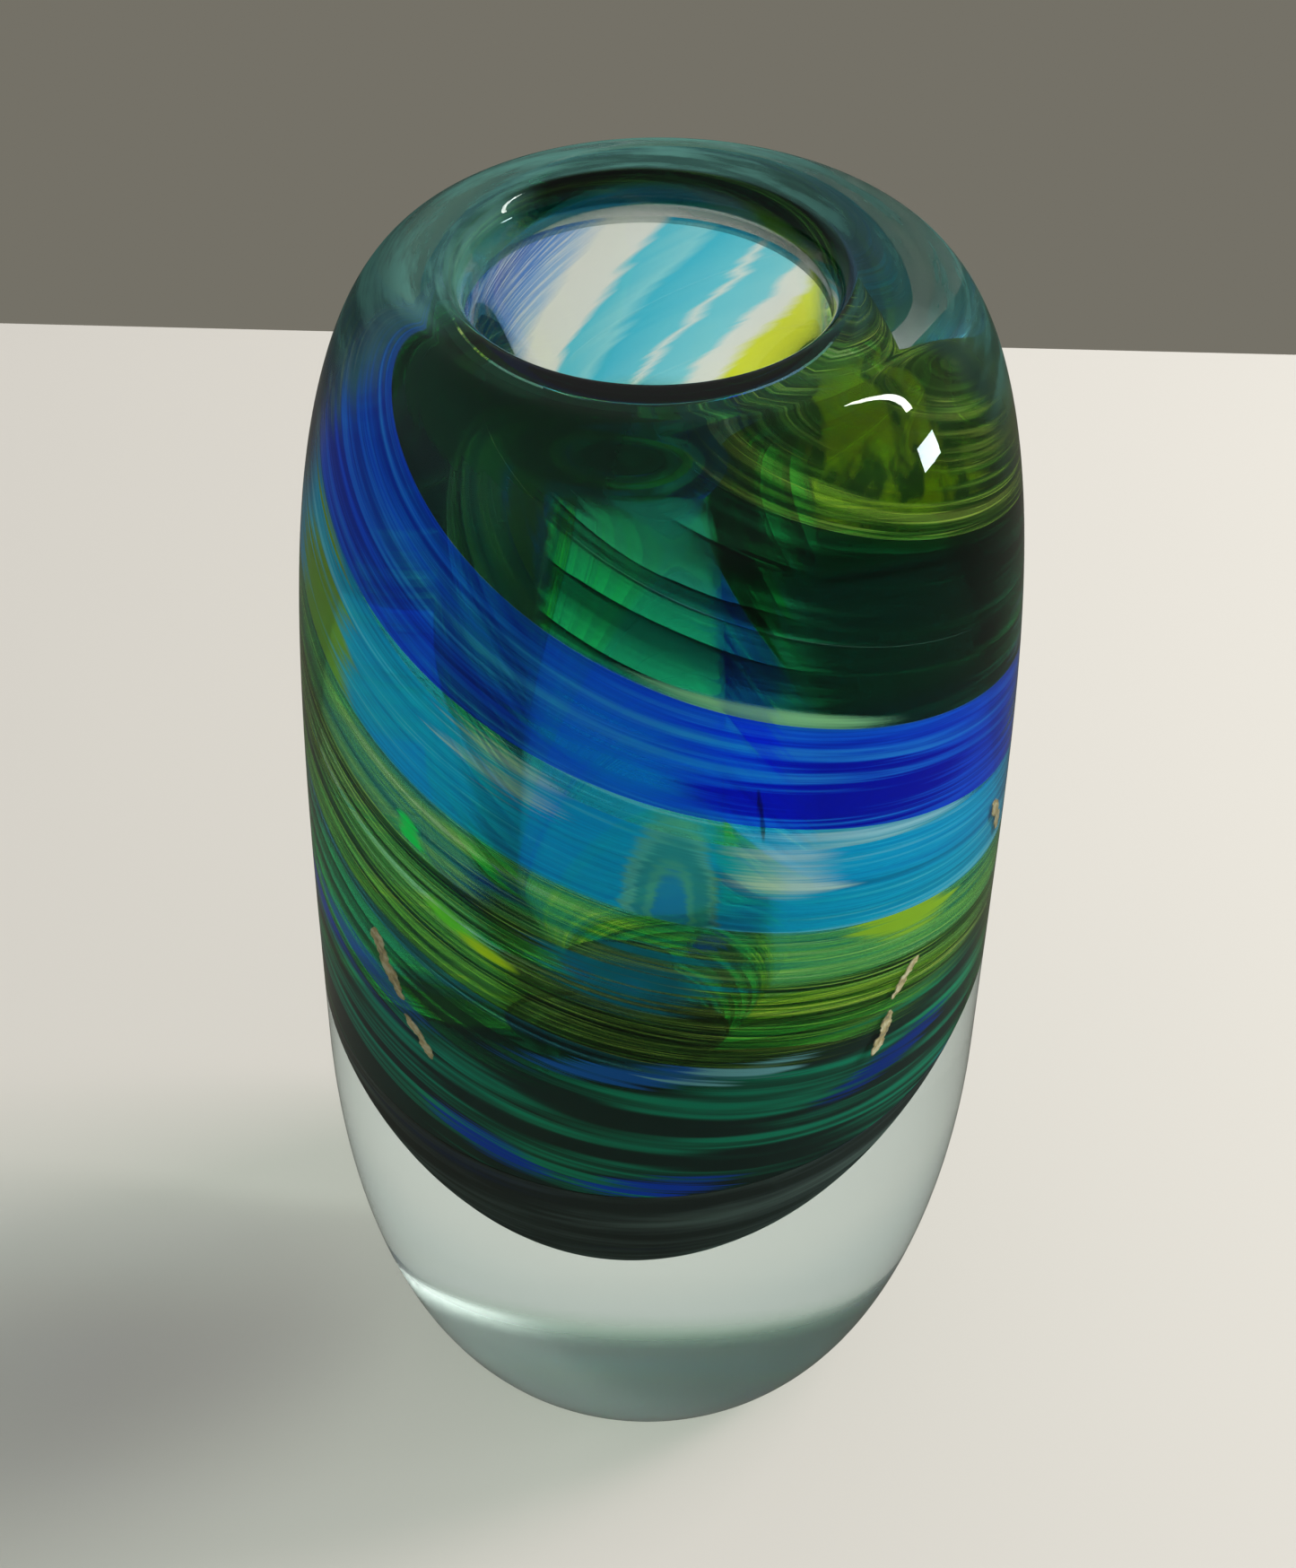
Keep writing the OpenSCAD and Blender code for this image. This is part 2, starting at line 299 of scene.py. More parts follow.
def mathNode(operation, *values):
    return addNode("Math", dict(enumerate(values)), operation=operation).outputs[0]


def times(value, *others):
    for other in others:
        value = mathNode("MULTIPLY", value, other)
    return value


def minus(value, other):
    return mathNode("SUBTRACT", value, other)


def timesPlus(value, factor, added):
    return mathNode("MULTIPLY_ADD", value, factor, added)


def drifted(value, *noises):
    # the value plus each noise, less its middle, times its amount
    for noise, amount in noises:
        value = timesPlus(minus(noise, 0.5), amount, value)
    return value


def rangeNode(value, low, high, outLow=0.0, outHigh=1.0, curve="SMOOTHSTEP"):
    inputs = dict(enumerate((value, low, high, outLow, outHigh)))
    return addNode("MapRange", inputs, interpolation_type=curve).outputs[0]


def noiseNode(vector, scale, detail=3.0, roughness=0.55, distortion=0.0):
    return addNode("TexNoise", {
        "Vector": vector, "Scale": scale, "Detail": detail,
        "Roughness": roughness, "Distortion": distortion}).outputs[0]


def mixColour(factor, first, second):
    inputs = {0: factor, 6: first, 7: second}   # the mix node's colour sockets are 6 and 7
    return addNode("Mix", inputs, data_type="RGBA", clamp_factor=True).outputs[2]


def rampNode(factor, stops):
    node = addNode("ValToRGB", {0: factor})
    elements = node.color_ramp.elements
    while len(elements) < len(stops):
        elements.new(0.5)
    for element, (place, *colour) in zip(elements, stops):
        element.position = place
        element.color = (*colour, 1.0)
    return node.outputs[0]


def stretched(values, scales):
    # a vector of the values, each times its own scale, for a noise that is drawn out along one of them
    parts = [times(value, scale) for value, scale in zip(values, scales)]
    return addNode("CombineXYZ", dict(enumerate(parts))).outputs[0]


def objectCoords(tree):
    return addNode("TexCoord", {}, tree).outputs["Object"]


def inMillimetres(coords, axes):
    parts = addNode("SeparateXYZ", {0: coords}).outputs
    return [mathNode("DIVIDE", parts[axis], mm) for axis in axes]


def bumpNode(height, strength, distance):
    return addNode("Bump", {"Height": height, "Strength": strength, "Distance": distance}).outputs[0]


def colourShader(kind, colour, tree=None):
    return addNode("Bsdf" + kind, {"Color": colour}, tree).outputs[0]


def mixShaders(factor, first, second):
    return addNode("MixShader", {0: factor, 1: first, 2: second}).outputs[0]


def setSurface(shader):
    addNode("OutputMaterial", {"Surface": shader})


# Clear glass: refracting skin, and the fused faces behind it that light crosses without bending

def cordedTint(coords, look):
    cords = noiseNode(coords, look["cordScale"], detail=2.0)
    return mixColour(cords, look["tint"], look["cordTint"])


def casingZones(coords, look, tint, rough):
    # by place: a darker inner wall of the lip, a greener base, a ground foot, and a painted reflection on the
    # crest
    x, depth, height = inMillimetres(coords, "XYZ")
    sideways = minus(x, form["coreX"])
    fromCore = mathNode("SQRT", timesPlus(sideways, sideways, times(depth, depth)))
    thinner = rangeNode(depth, *look["lipFrontDepth"], 0.0, look["lipFront"])
    lip = times(
        rangeNode(height, *(form["seam"] + rise for rise in look["lipRise"])),
        rangeNode(mathNode("ADD", fromCore, thinner), *look["lipReach"]),
        rangeNode(sideways, *look["lipLeftSpan"], look["lipLeft"]))
    ground = rangeNode(height, *look["footSpan"])
    base = rangeNode(height, *look["baseSpan"])
    for mask, key in ((lip, "lipTint"), (base, "baseTint"), (ground, "footTint")):
        tint = mixColour(mask, tint, look[key])
    rough = timesPlus(ground, look["groundRough"], rough)
    bearing = mathNode("ARCTAN2", sideways, depth)
    turned = stretched((fromCore, bearing, height), look["reflectionScale"])   # drawn round the mouth
    cloud = noiseNode(turned, 1.0, detail=4.0, roughness=0.6)
    settled = timesPlus(mathNode("MAXIMUM", depth, 0.0), -look["reflectionDrop"], height)
    paintedReflection = times(
        rangeNode(cloud, *look["reflectionCloud"], *look["reflectionShare"]),
        rangeNode(settled, *look["reflectionRise"]), rangeNode(depth, *look["reflectionDepth"]), minus(1.0, lip))
    # painted reflection on the crest: sage with paler streaks
    paintedReflectionTone = mixColour(rangeNode(cloud, *look["streakCloud"]), look["paintedReflectionColour"], look["paintedReflectionStreak"])
    shade = mixColour(rangeNode(cloud, *look["shadeCloud"]), look["paintedShadeColour"], look["paintedReflectionColour"])
    # painted shade: the painted reflection turns darker towards the right
    paintedReflectionTone = mixColour(rangeNode(sideways, *look["shadeSpan"]), paintedReflectionTone, shade)
    return tint, rough, paintedReflection, paintedReflectionTone


def clearGlass(name, look):
    material, tree = newMaterial(name)
    coords = objectCoords(tree)
    tint = cordedTint(coords, look)
    smear = noiseNode(coords, look["smearScale"])
    rough = rangeNode(smear, *look["smear"], *look["rough"])
    zoned = "lipTint" in look
    if zoned:
        tint, rough, paintedReflection, paintedReflectionTone = casingZones(coords, look, tint, rough)
    ripple = noiseNode(coords, look["rippleScale"], detail=1.0)
    skin = addNode("BsdfPrincipled", {
        "Base Color": tint, "Roughness": rough, "IOR": look["ior"], "Transmission Weight": 1.0,
        "Specular Tint": look["sheen"],
        "Normal": bumpNode(ripple, look["rippleStrength"], look["rippleDepth"])}).outputs[0]
    if zoned:
        # the painted reflection on the crest is a matte sage veil laid over the glass
        skin = mixShaders(paintedReflection, skin, colourShader("Diffuse", paintedReflectionTone))
    path = addNode("LightPath", {}, tree).outputs
    unbent = mathNode("MAXIMUM", path["Is Shadow Ray"], path["Is Diffuse Ray"])
    through = colourShader("Transparent", look["shadowTint"], tree)
    setSurface(mixShaders(unbent, skin, through))   # lamps and soft light reach the colour inside
    return material


def fusedFace(name, look):
    material, tree = newMaterial(name)
    coords = objectCoords(tree)
    tint = cordedTint(coords, look)
    if "clearBehind" in look:
        depth = inMillimetres(coords, "Y")[0]
        tint = mixColour(rangeNode(depth, *look["clearBehind"]), tint, look["behindTint"])
    setSurface(colourShader("Transparent", tint))
    return material


gatherLook = {
    "tint": (0.97, 0.99, 0.98), "cordTint": (0.94, 0.98, 0.965), "cordScale": 22.0,
    "smearScale": 60.0, "smear": (0.35, 0.75), "rough": (0.0, 0.015),
    "rippleScale": 40.0, "rippleStrength": 0.02, "rippleDepth": 0.001,
    "ior": 1.5, "sheen": (0.5, 0.5, 0.5), "shadowTint": (0.90, 0.94, 0.92),
}
casingLook = dict(
    gatherLook, tint=(0.87, 0.94, 0.91), cordTint=(0.83, 0.92, 0.89), shadowTint=(0.74, 0.80, 0.77),
    rippleScale=55.0,
    # the darker inner wall of the lip: mm from the core and above the seam, thinner in front, paler at the
    # left
    lipTint=(0.02, 0.05, 0.042), lipReach=(23.6, 22.6), lipRise=(2.0, 2.8),
    lipFront=1.9, lipFrontDepth=(-6.0, -18.0), lipLeft=0.45, lipLeftSpan=(-19.0, -12.0),
    baseTint=(0.70, 0.83, 0.83), baseSpan=(58.0, 43.0),
    footTint=(0.22, 0.47, 0.30), footSpan=(3.0, 0.1), groundRough=0.5,
    # the painted reflection on the crest, a sage veil: its colours, its clouds, and where it lies; it is
    # darker at the right, painted shade
    paintedReflectionColour=(0.030, 0.085, 0.075), paintedReflectionStreak=(0.075, 0.20, 0.175), paintedShadeColour=(0.012, 0.032, 0.026),
    reflectionScale=(0.40, 1.3, 0.14), reflectionCloud=(0.35, 0.65), reflectionShare=(0.70, 0.95),
    streakCloud=(0.40, 0.64), shadeCloud=(0.42, 0.66), shadeSpan=(2.0, 26.0),
    reflectionRise=(160.0, 171.0), reflectionDrop=0.2, reflectionDepth=(-16.0, -4.0))
fusedLook = {"tint": (1.0, 1.0, 1.0), "cordTint": (0.985, 0.995, 0.99), "cordScale": 30.0}
darkFrontEdgeLook = {
    "tint": (0.02, 0.06, 0.045), "cordTint": (0.03, 0.08, 0.06), "cordScale": 80.0,
    "clearBehind": (-6.0, 6.0), "behindTint": (0.96, 0.98, 0.97),
}

casingGlass = clearGlass("clearCasingGlass", casingLook)
gatherGlass = clearGlass("innerGatherGlass", gatherLook)
fusedGlass = fusedFace("fusedGlass", fusedLook)
darkFrontEdge = fusedFace("darkFrontEdge", darkFrontEdgeLook)
print("clear glass ready")


# Outer gather: foot, belly, shoulder, crest, lip and mouth are its skin, the pocket is fused to the colour

casingShape = {
    "sides": 192, "heelSteps": 40, "shoulderSteps": 56, "lipSteps": 14, "pocketNose": 30, "pocketWall": 24,
    "footRing": 0.5,          # share of the foot's radius, a ring that keeps the fan of the foot small
    "wobble": 0.22, "stillFoot": 12.0, "stillCrest": 14.0, "stillPocket": 4.0,
    "swayHeights": (23.0, 37.0, 41.0),
}


def handWobble(around, height, radius):
    # inward only: a slow lobed sway that turns with height, nothing at the foot, the crest and the pocket
    fade = np.clip(height / casingShape["stillFoot"], 0, 1) \
        * np.clip((form["height"] - height) / casingShape["stillCrest"], 0, 1)
    outer = np.clip((radius - form["colourRadius"]) / casingShape["stillPocket"], 0, 1)
    two, slow, three = (height / climb for climb in casingShape["swayHeights"])
    sway = 0.5 + 0.5 * np.sin(2 * around + two) * np.cos(slow + 1.0) * np.cos(3 * around - three)
    return casingShape["wobble"] * sway * fade * outer


def makeCasing():
    # from the middle of the foot up the outside, over the lip, and down the pocket to its nose
    pocket = colourProfile(0, form["seam"], casingShape["pocketNose"], casingShape["pocketWall"])[::-1]
    rings = np.vstack([
        asRings([[0, 0], [form["footRadius"] * casingShape["footRing"], 0]], 0, 0),
        asRings(heelCurve(casingShape["heelSteps"]), 0, 0),
        asRings(shoulderCurve(casingShape["shoulderSteps"]), 0, 0),
        asRings(lipCurve(casingShape["lipSteps"]), form["coreX"], 0),
        asRings([[form["mouthRadius"], form["seam"]]], form["coreX"], 1),
        asRings(pocket, form["coreX"], 1)])
    return turnedSolid("clearCasing", rings, casingShape["sides"], [casingGlass, fusedGlass], handWobble)


clearCasing = makeCasing()
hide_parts("clear_casing")
print("outer gather done")


# Inner gather: its inside is the hollow, its outside is fused to the colour

gatherShape = {
    "sides": 160, "outerNose": 30, "outerWall": 24, "hollowNose": 44, "hollowWall": 60,
    "seamGap": 0.02,          # closes on the lip, so that no slit shows at the seam
}


def makeGather():
    # from the nose up the outside, across the narrow top edge, and down the hollow
    top = form["seam"] - gatherShape["seamGap"]
    outer = colourProfile(form["gatherInset"], top, gatherShape["outerNose"], gatherShape["outerWall"])
    hollowHeights = noseHeights(form["hollowFull"], form["hollowNose"], top,
                                gatherShape["hollowNose"], gatherShape["hollowWall"])[::-1]
    hollow = np.stack([hollowRadiusAt(hollowHeights), hollowHeights], -1)
    fused = np.append(np.ones(len(outer) - 1), 2)   # the narrow top edge under the lip is dark at the front, clear behind
    rings = np.vstack([
        asRings(outer, form["coreX"], fused),
        asRings(hollow, form["coreX"], 0, hollowCentreAt(hollowHeights))])
    return turnedSolid("innerGather", rings, gatherShape["sides"], [gatherGlass, fusedGlass, darkFrontEdge])


innerGather = makeGather()
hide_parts("inner_gather")
print("inner gather done")


# Coloured glass: tints along the swirl, feathered into the neighbouring strips

def swirlPlace(tree, look):
    # the map's u is the place round the swirl in turns, v the way along it; u less v is the bearing
    mapCoords = addNode("UVMap", {}, tree, uv_map="swirlMap").outputs[0]
    parts = addNode("SeparateXYZ", {0: mapCoords}).outputs
    u, v = parts["X"], parts["Y"]
    coords = objectCoords(tree)
    depth, height = inMillimetres(coords, "YZ")
    sway = noiseNode(stretched((u, v), look["swayScale"]), 1.0, detail=2.0)
    swayed = timesPlus(sway, look["sway"], u)

    def streaks(scales, detail):
        return noiseNode(stretched((swayed, v), scales), 1.0, detail, roughness=0.6)

    broad, fine = streaks(look["broad"], 3.0), streaks(look["fine"], 3.0)
    # overlapping feathers: a saw along the swirl, light at its lower edge, fading upwards to a thin dark line
    saw = mathNode("FRACT", timesPlus(swayed, look["feathers"], times(broad, look["featherBend"])))
    return {
        "u": u, "height": height, "depth": depth, "bearing": minus(u, v), "broad": broad, "fine": fine,
        "hair": streaks(look["hair"], 2.0),
        "brush": streaks(look["brush"], 2.0),
        "blotch": noiseNode(coords, look["blotchScale"]),
        "rag": minus(mathNode("ADD", fine, broad), 1.0),
        "lift": rangeNode(saw, *look["featherLift"]),
        "line": rangeNode(saw, *look["featherLine"])}


patchBorder = {
    # of every patch that does not say otherwise
    "lean": 0.22, "power": 2.0, "rag": 3.0, "soft": 0.8, "share": 1.0, "mottle": None, "veined": False,
}


def patch(bearing, height, reach, tint, glow, milk, **border):
    # a leaning oval of colour: its middle, its reach in degrees and mm, its colours and its border
    return dict(patchBorder, bearing=bearing, height=height, reach=reach, tint=tint, glow=glow, milk=milk,
                **border)


def patchMask(place, spot):
    # how far inside a leaning oval the point lies: bearing and height from its middle, each over its reach
    offset = minus(place["bearing"], spot["bearing"] / 360 - 0.5)
    turns = minus(mathNode("FRACT", offset), 0.5)
    line = timesPlus(turns, 360 * spot["lean"], place["height"])
    side = times(turns, 360 / spot["reach"][0])
    rise = mathNode("DIVIDE", minus(line, spot["height"]), spot["reach"][1])
    side, rise = (mathNode("POWER", mathNode("ABSOLUTE", away), spot["power"]) for away in (side, rise))
    ragged = timesPlus(place["rag"], spot["rag"], mathNode("ADD", side, rise))
    mask = rangeNode(ragged, 1.0, 1.0 - spot["soft"], 0.0, spot["share"])
    if spot["veined"]:
        mask = times(mask, minus(1.0, place["line"]))
    return mask


rimWash = {
    # seen across the mouth: turns of clear, lime, turquoise and blue glass drawn steeply to the rim
    "climb": 1.64, "middle": 151.7, "span": (120.0, 270.0), "broadDrift": 16.0, "fineDrift": 3.0,
    "rise": (140.0, 146.0), "firstSide": (104.0, 124.0), "lastSide": (276.0, 258.0), "milk": 0.08,
    "laceMiddle": 0.52, "laceWidth": 0.05, "laceShare": 0.75, "laceSpan": (0.64, 0.74),
    "lace": (0.95, 0.96, 0.97),
    "stops": [
        (0.00, 0.36, 0.46, 0.07), (0.06, 0.78, 0.86, 0.06), (0.17, 0.84, 0.90, 0.05),
        (0.20, 0.96, 0.97, 0.94), (0.24, 0.93, 0.97, 0.96), (0.26, 0.28, 0.80, 0.96),
        (0.33, 0.21, 0.75, 0.94), (0.348, 0.82, 0.95, 0.97), (0.364, 0.19, 0.74, 0.94),
        (0.45, 0.09, 0.65, 0.90), (0.48, 0.31, 0.82, 0.96), (0.55, 0.14, 0.71, 0.93),
        (0.575, 0.95, 0.97, 0.96), (0.675, 0.97, 0.97, 0.95), (0.715, 0.45, 0.66, 0.96),
        (0.79, 0.16, 0.36, 0.88), (0.94, 0.05, 0.12, 0.62)],
}


def rimColours(place):
    # the wash runs along bearing plus climb times height, drawn through the streaks; it fades out downwards
    back = times(mathNode("FRACT", place["bearing"]), 360.0)
    line = timesPlus(minus(place["height"], rimWash["middle"]), rimWash["climb"], back)
    drift = drifted(line, (place["broad"], rimWash["broadDrift"]), (place["fine"], rimWash["fineDrift"]))
    share = rangeNode(drift, *rimWash["span"], curve="LINEAR")
    fromLace = mathNode("ABSOLUTE", minus(place["hair"], rimWash["laceMiddle"]))
    lace = times(rangeNode(fromLace, rimWash["laceWidth"], 0.0, 0.0, rimWash["laceShare"]),
                 rangeNode(share, *rimWash["laceSpan"]))
    colour = mixColour(lace, rampNode(share, rimWash["stops"]), rimWash["lace"])
    mask = times(rangeNode(place["height"], *rimWash["rise"]),
                 rangeNode(back, *rimWash["firstSide"]), rangeNode(back, *rimWash["lastSide"]))
    return mask, colour, colour, rimWash["milk"]


lowTones = {
    "fade": (87.0, 80.0), "depth": (14.0, -2.0), "rag": 12.0,
    "arcStreaks": (0.44, 0.58), "arcPlaces": (0.36, 0.58), "arcLeast": 0.3,
    "dark": (0.014, 0.034, 0.031), "darkGlow": (0.045, 0.095, 0.085), "darkMilk": 0.32,
    "arc": (0.02, 0.42, 0.23), "arcGlow": (0.02, 0.50, 0.29), "arcMilk": 0.52,
}


def lowColours(place):
    # below the olive strip the glass is darker on the front, with emerald feathers along the swirl
    ragged = drifted(place["height"], (place["fine"], lowTones["rag"]))
    mask = times(rangeNode(ragged, *lowTones["fade"]), rangeNode(place["depth"], *lowTones["depth"]))
    arcs = times(rangeNode(place["brush"], *lowTones["arcStreaks"]),
                 rangeNode(place["broad"], *lowTones["arcPlaces"], lowTones["arcLeast"]))
    tint = mixColour(arcs, lowTones["dark"], lowTones["arc"])
    glow = mixColour(arcs, lowTones["darkGlow"], lowTones["arcGlow"])
    milk = rangeNode(arcs, 0.0, 1.0, lowTones["darkMilk"], lowTones["arcMilk"])
    return mask, tint, glow, milk


washes = [
    # tones that lie across all the strips: pale and dark ones on the back, then the crown under the lip
    patch(180, 104, (84, 17), (0.56, 0.80, 0.86), (0.26, 0.46, 0.48), 0.28,
          lean=0.16, power=4.0, rag=2.0, share=0.7),
    patch(180, 76, (80, 13), (0.36, 0.78, 0.88), (0.12, 0.42, 0.50), 0.25,
          lean=0.10, power=4.0, rag=2.0, share=0.7),
    patch(180, 134, (74, 9), (0.02, 0.07, 0.055), (0.015, 0.05, 0.04), 0.15,
          lean=0.24, power=3.0, rag=2.5, soft=1.0, share=0.85),
    patch(-25, 169, (52, 7), (0.012, 0.10, 0.060), (0.016, 0.085, 0.050), 0.35,
          lean=0.02, power=4.0, rag=1.5, soft=0.7),
    patch(3, 164, (12, 8), (0.02, 0.45, 0.20), (0.02, 0.20, 0.10), 0.15,
          lean=0, rag=1.5, soft=1.2, share=0.7),
    patch(-100, 164, (30, 11), (0.03, 0.14, 0.15), (0.08, 0.24, 0.22), 0.45, lean=0, rag=1.5, share=0.85),
    patch(116, 156, (24, 20), (0.03, 0.07, 0.05), (0.05, 0.11, 0.08), 0.3, lean=0, rag=1.0, share=0.9),
    # blue, dark and cyan scraps low on the front
    patch(-32, 64, (17, 3.4), (0.01, 0.06, 0.75), (0.01, 0.09, 0.80), 0.55, lean=0.16, soft=1.0),
    patch(7, 60.4, (20, 3.0), (0.01, 0.06, 0.85), (0.01, 0.10, 0.95), 0.6, lean=0.03, soft=1.0),
    patch(-36, 88, (19, 4.5), (0.01, 0.06, 0.045), (0.02, 0.07, 0.05), 0.3, lean=0.14, rag=2.0, soft=1.0),
    patch(0, 84.5, (26, 2.2), (0.02, 0.16, 0.70), (0.02, 0.20, 0.80), 0.55, lean=0.03, rag=3.5, soft=1.0),
    patch(22, 83.5, (16, 1.6), (0.30, 0.75, 0.85), (0.35, 0.80, 0.90), 0.55, lean=0.03, rag=6.0, soft=1.4),
    patch(60, 73, (22, 3.0), (0.01, 0.06, 0.55), (0.01, 0.07, 0.55), 0.5, lean=-0.05, rag=3.5, soft=1.0),
    patch(-62, 86, (24, 2.6), (0.02, 0.14, 0.55), (0.02, 0.16, 0.60), 0.45, lean=0.14, rag=3.5, soft=1.0),
]


def overlay(layers, mask, tint, glow, milk):
    # lays one more colour over the tint, the glow and the milk that are there, as far as the mask says
    underTint, underGlow, underMilk = layers
    return (mixColour(mask, underTint, tint), mixColour(mask, underGlow, glow),
            timesPlus(mask, minus(milk, underMilk), underMilk))


def swirlGlass(name, look, lowNeighbour, highNeighbour):
    # streaks by a ramp, with feathers, threads and dark lines; then the neighbours' colours, and the patches
    material, tree = newMaterial(name)
    place = swirlPlace(tree, look)
    fineShare, half = look["fineShare"], look["borderHalf"]
    blend = timesPlus(place["fine"], fineShare, times(place["broad"], 1 - fineShare))
    tint = rampNode(blend, look["stops"])
    threads = rangeNode(place["hair"], *look["threads"], 0.0, look["threadShare"])
    tint = mixColour(times(place["lift"], look["featherShare"]), tint, look["featherTint"])
    tint = mixColour(threads, tint, look["threadTint"])
    tint = mixColour(times(place["line"], look["lineShare"]), tint, look["lineTint"])
    drift = drifted(place["u"], (place["hair"], look["hairDrift"]), (place["broad"], look["broadDrift"]))
    lowEdge, highEdge = (rangeNode(drift, angle / 360 - half, angle / 360 + half) for angle in look["edges"])
    tint = mixColour(lowEdge, lowNeighbour["body"], tint)
    tint = mixColour(highEdge, tint, highNeighbour["body"])
    glow = mixColour(look["glowShare"], tint, look["glow"])
    milk = rangeNode(place["fine"], *look["milkStreaks"], *look["milk"])
    milk = timesPlus(threads, look["threadMilk"], milk)
    layers = overlay((tint, glow, milk), *lowColours(place))
    for spot in look["patches"] + washes:
        colours = spot["tint"], spot["glow"]
        if spot["mottle"]:
            mottle = rangeNode(place["blotch"], *look["mottles"])
            colours = [mixColour(mottle, spot["mottle"], colour) for colour in colours]
        layers = overlay(layers, patchMask(place, spot), *colours, spot["milk"])
    tint, glow, milk = overlay(layers, *rimColours(place))
    body = mixShaders(look["backShare"], colourShader("Diffuse", glow), colourShader("Translucent", glow))
    setSurface(mixShaders(milk, colourShader("Transparent", tint), body))
    return material


streakLook = {
    # noises by their scale across and along the swirl
    "swayScale": (9.0, 2.6), "sway": 0.035, "broad": (30.0, 1.7), "fine": (90.0, 4.0), "hair": (170.0, 6.0),
    "brush": (11.0, 3.0), "blotchScale": 170.0, "fineShare": 0.45,
    # the borders wander by these shares of a turn; without neighbours they lie out of reach
    "hairDrift": 0.0308, "broadDrift": 0.0352, "borderHalf": 0.0077, "edges": (-3240.0, 3240.0),
    "milk": (0.08, 0.25), "milkStreaks": (0.4, 0.6), "backShare": 0.45, "glowShare": 0.5,
    "feathers": 17.0, "featherBend": 1.3, "featherLift": (0.75, 0.0), "featherLine": (0.86, 0.97),
    "featherShare": 0.0, "featherTint": (0.1, 0.6, 0.3), "lineShare": 0.0, "lineTint": (0.0, 0.02, 0.015),
    "threads": (0.56, 0.68), "threadShare": 0.0, "threadTint": (0.8, 0.9, 0.7), "threadMilk": 0.0,
    "mottles": (0.42, 0.60), "patches": [],
}
hairyLook = dict(streakLook, fine=(150.0, 4.0), hair=(220.0, 6.0))

shadowTeal = patch(-43, 161, (26, 15), (0.025, 0.12, 0.12), (0.022, 0.060, 0.064), 0.30,
                   lean=0.27, power=4.0, rag=0.6, soft=0.35)
emeraldLook = dict(
    streakLook, node="emerald_ribbon", width=42.0, body=(0.01, 0.20, 0.10), glow=(0.01, 0.16, 0.08),
    milk=(0.03, 0.10), featherShare=0.85, featherTint=(0.03, 0.78, 0.25), lineShare=0.9,
    stops=[(0.36, 0.003, 0.08, 0.04), (0.48, 0.006, 0.19, 0.08),
           (0.56, 0.012, 0.36, 0.13), (0.64, 0.05, 0.62, 0.22)],
    patches=[
        shadowTeal,
        # painted shade: near black over the right of the front of the strip, with green veins left in it
        patch(60, 141, (46, 22), (0.003, 0.035, 0.024), (0.004, 0.030, 0.020), 0.12, rag=0.8, veined=True),
        patch(26, 138.4, (32, 1.5), (0.50, 0.90, 0.40), (0.42, 0.80, 0.34), 0.65,
              lean=0.25, rag=1.2, soft=0.9)])
bottleLook = dict(
    streakLook, node="bottle_green_ribbon", width=47.0, body=(0.006, 0.06, 0.04), glow=(0.006, 0.05, 0.03),
    milk=(0.03, 0.08), featherShare=0.7, featherTint=(0.06, 0.66, 0.30), lineShare=0.9,
    stops=[(0.36, 0.004, 0.05, 0.03), (0.48, 0.008, 0.15, 0.07),
           (0.56, 0.02, 0.32, 0.14), (0.64, 0.05, 0.50, 0.24)],
    patches=[
        shadowTeal,
        # painted shade: near black over the right of the front of the strip, with green veins left in it
        patch(61, 146, (47, 19), (0.003, 0.035, 0.024), (0.004, 0.030, 0.020), 0.12, rag=0.8, veined=True)])

shoulderLime = patch(62, 159.5, (33, 8.5), (0.34, 0.52, 0.004), (0.20, 0.32, 0.002), 0.30,
                     lean=0.2, rag=1.8, mottle=(0.03, 0.10, 0.01))
lowerCyan = patch(1, 101.5, (20, 7), (0.02, 0.55, 0.70), (0.01, 0.50, 0.72), 0.3,
                  lean=0.04, rag=4.0, soft=1.2)
mossLook = dict(
    hairyLook, node="moss_ribbon", width=46.0, body=(0.04, 0.16, 0.04), glow=(0.08, 0.18, 0.02),
    stops=[(0.42, 0.006, 0.05, 0.025), (0.48, 0.04, 0.18, 0.05),
           (0.54, 0.20, 0.45, 0.06), (0.60, 0.70, 0.85, 0.15)],
    threadShare=0.8, threadTint=(0.85, 0.92, 0.16), threadMilk=0.5, patches=[shoulderLime])
oliveLook = dict(
    hairyLook, node="olive_ribbon", width=46.0, body=(0.14, 0.34, 0.06), glow=(0.20, 0.34, 0.03),
    stops=[(0.42, 0.008, 0.07, 0.03), (0.48, 0.06, 0.26, 0.05),
           (0.54, 0.46, 0.68, 0.12), (0.60, 0.94, 0.97, 0.42)],
    threadShare=0.85, threadTint=(0.92, 0.96, 0.20), threadMilk=0.55,
    patches=[
        shoulderLime, lowerCyan,
        # painted glints: small bright green and yellow spots for light focused onto the strip
        patch(-37, 104, (8, 1.8), (0.25, 0.90, 0.06), (0.25, 0.95, 0.05), 0.8, lean=0.26, rag=1.8, soft=0.9),
        patch(-28.5, 101, (8, 1.3), (0.85, 0.96, 0.03), (0.85, 0.95, 0.02), 0.8, rag=1.6, soft=0.9)])
limeLook = dict(
    streakLook, node="lime_ribbon", width=43.0, body=(0.06, 0.44, 0.24), glow=(0.12, 0.44, 0.12),
    fine=(130.0, 4.0), hair=(240.0, 6.0),
    stops=[(0.38, 0.015, 0.24, 0.16), (0.47, 0.08, 0.48, 0.26),
           (0.55, 0.36, 0.70, 0.14), (0.63, 0.88, 0.96, 0.40)],
    threadShare=0.6, threadTint=(0.90, 0.98, 0.30), threadMilk=0.4,
    patches=[
        lowerCyan,
        # painted glint: a small bright green spot for light focused onto the strip
        patch(-46, 113, (4, 4), (0.02, 0.95, 0.20), (0.02, 1.0, 0.15), 0.85, lean=0.6, rag=1.5),
        patch(60, 99, (16, 4), (0.55, 0.76, 0.05), (0.55, 0.75, 0.04), 0.55)])
